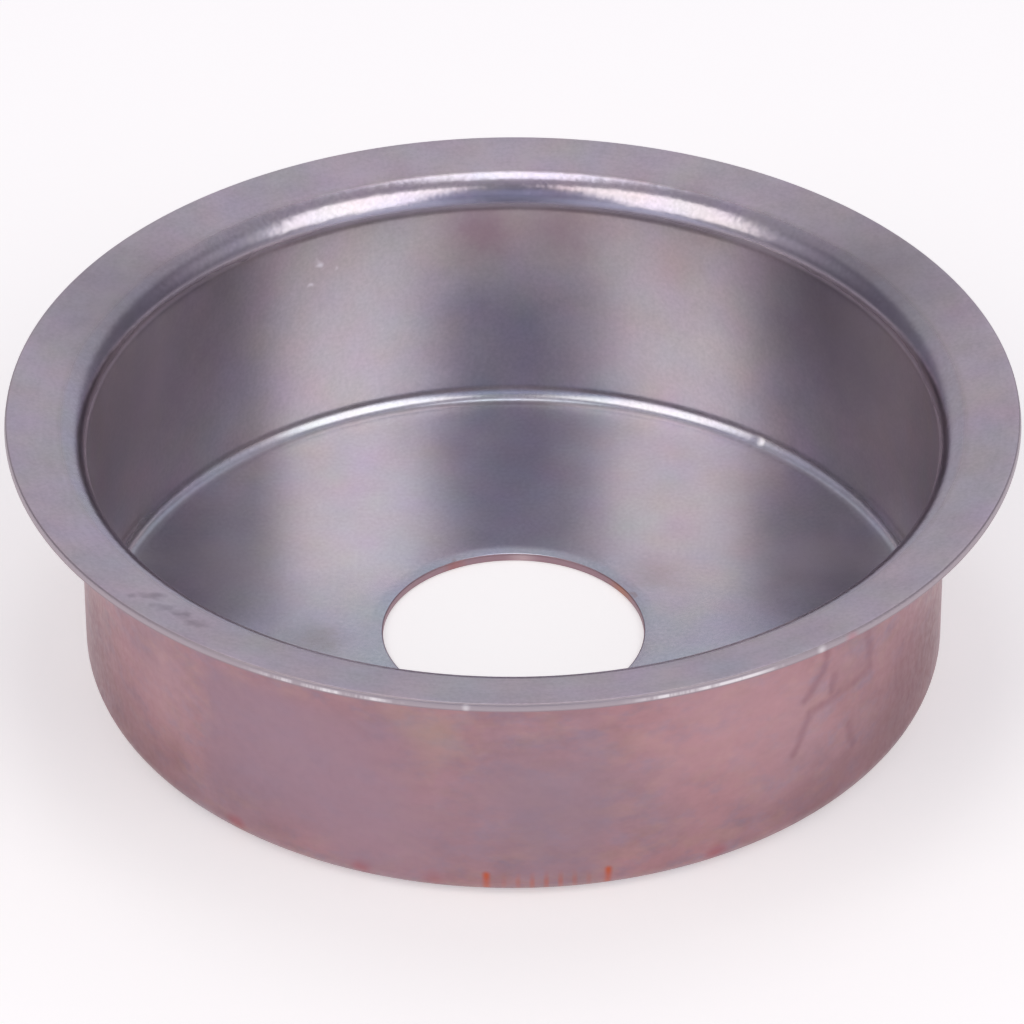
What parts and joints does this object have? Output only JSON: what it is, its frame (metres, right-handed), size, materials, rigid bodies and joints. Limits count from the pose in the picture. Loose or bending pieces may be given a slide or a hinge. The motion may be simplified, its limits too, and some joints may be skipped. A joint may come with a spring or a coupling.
{
  "type": "turbo heat shield",
  "caption": "Round pressed steel cup with a dished clamping flange and a central shaft hole, shielding a turbocharger's bearing housing from exhaust heat.",
  "frame": {"origin": "on the axis, at the underside of the floor", "axes": "+Z along the axis, from the floor towards the open side and the flange; the part is round, so X and Y are free"},
  "size_m": [0.07, 0.07, 0.0198],
  "materials": {
    "shield_steel": "satin pressed stainless steel, with draw marks and a faint rose tint on the outside"
  },
  "bodies": {
    "root": {"heat_shield": "shield_steel"}
  },
  "joints": []
}
